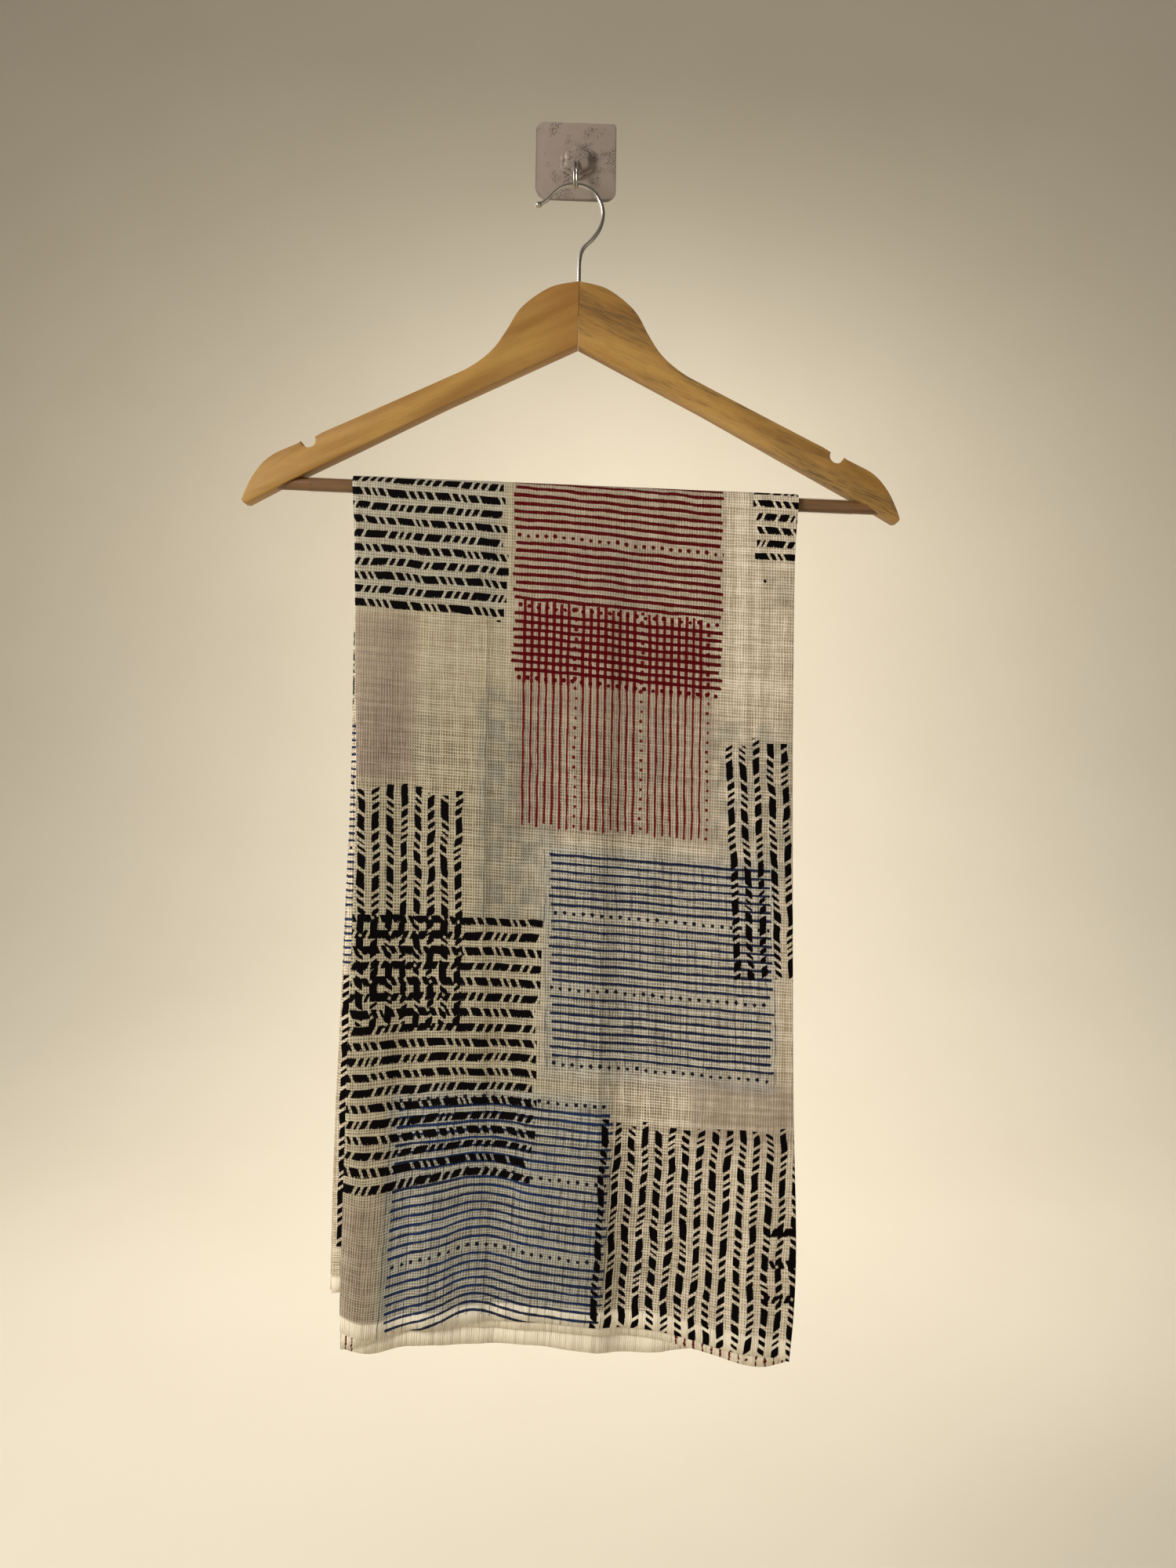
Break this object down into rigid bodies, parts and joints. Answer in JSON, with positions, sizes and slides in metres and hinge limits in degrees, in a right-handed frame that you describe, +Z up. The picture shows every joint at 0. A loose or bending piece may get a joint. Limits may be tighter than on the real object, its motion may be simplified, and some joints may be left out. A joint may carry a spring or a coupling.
{
  "type": "ajrakh cloth on a wooden hanger with a wall hook",
  "caption": "Block-printed open-check cotton folded back and forth and hung over the bar of a flat wooden hanger, which hangs on a clear stick-on wall hook.",
  "frame": {"origin": "middle of the wall plate's flat back face, where it meets the wall", "axes": "+Z up along the hang of the cloth, +Y into the wall, +X to the viewer's right"},
  "size_m": [0.4441, 0.0311, 0.8469],
  "materials": {
    "printed_cotton": "open check weave, block printed, matte",
    "hanger_wood": "thin clear lacquer, satin",
    "dowel_wood": "sanded, satin",
    "clear_sleeve": "clear, glossy",
    "steel_wire": "bright plated",
    "clear_plastic": "clear, slightly clouded"
  },
  "bodies": {
    "root": {"ajrakh_cloth": "printed_cotton", "arm_left": "hanger_wood", "arm_right": "hanger_wood", "trouser_bar": "dowel_wood", "bar_sleeve": "clear_sleeve", "hanger_hook": "steel_wire", "wall_hook": "steel_wire", "wall_plate": "clear_plastic"}
  },
  "joints": []
}
